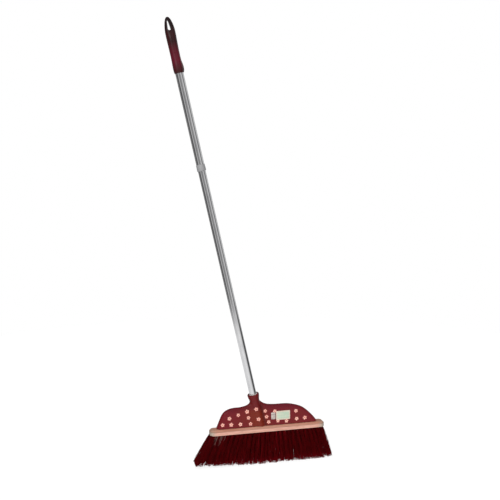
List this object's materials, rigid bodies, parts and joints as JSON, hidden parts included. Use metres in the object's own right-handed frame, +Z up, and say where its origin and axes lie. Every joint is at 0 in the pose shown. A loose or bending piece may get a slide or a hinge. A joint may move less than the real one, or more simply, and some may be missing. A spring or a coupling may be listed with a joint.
{
  "type": "push broom",
  "caption": "Household broom: a fan of dark red bristles in a wooden block under a moulded cover, with a leaning telescopic metal handle and a moulded grip.",
  "frame": {"origin": "on the floor under the middle of the wooden block, at the middle of the bristle tips", "axes": "+Z up from the floor, +X along the wooden block towards its right-hand end, -Y towards the front with the label; the handle leans towards -X"},
  "size_m": [0.481, 0.045, 1.249],
  "materials": {
    "cover_plastic": "satin",
    "grip_plastic": "satin",
    "block_wood": "satin",
    "bristle_fibre": "satin",
    "tube_steel": "polished",
    "screw_steel": "satin",
    "collar_plastic": "matte",
    "white_nylon": "satin",
    "label_green": "satin",
    "label_white": "satin"
  },
  "bodies": {
    "head": {"head_cover": "cover_plastic", "wooden_block": "block_wood", "bristle_row_1": "bristle_fibre", "bristle_row_2": "bristle_fibre", "bristle_row_3": "bristle_fibre", "bristle_row_4": "bristle_fibre", "bristle_row_5": "bristle_fibre", "cover_screw_1": "screw_steel", "cover_screw_2": "screw_steel", "cover_screw_3": "screw_steel", "cover_screw_4": "screw_steel", "label_panel": "label_green", "label_tag": "label_white"},
    "mouth_ring": {"socket_ring": "white_nylon"},
    "lower_handle": {"lower_tube": "tube_steel", "thread_tip": "white_nylon", "lock_plug": "white_nylon", "lock_washer": "screw_steel", "lock_screw": "screw_steel"},
    "lock_ring": {"expander_ring": "white_nylon"},
    "upper_handle": {"upper_tube": "tube_steel", "collar": "collar_plastic", "grip": "grip_plastic"}
  },
  "joints": [
    {"name": "unscrew_travel", "type": "slide", "parent": "head", "child": "mouth_ring", "axis": [-0.2215, 0, 0.9751], "range_m": [0, 0.02]},
    {"name": "handle_unscrew", "type": "hinge", "parent": "mouth_ring", "child": "lower_handle", "pos_m": [-0.04086, 0, 0.20186], "axis": [-0.2215, 0, 0.9751], "range_deg": [0, 1440.72]},
    {"name": "twist_lock", "type": "hinge", "parent": "lower_handle", "child": "lock_ring", "pos_m": [-0.21611, 0, 0.9732], "axis": [-0.2215, 0, 0.9751], "range_deg": [0, 120]},
    {"name": "telescope", "type": "slide", "parent": "lock_ring", "child": "upper_handle", "axis": [-0.2215, 0, 0.9751], "range_m": [-0.21, 0]}
  ],
  "couplings": [
    {"joint": "handle_unscrew", "follows": "unscrew_travel", "rad_per_m": 1256.6}
  ]
}
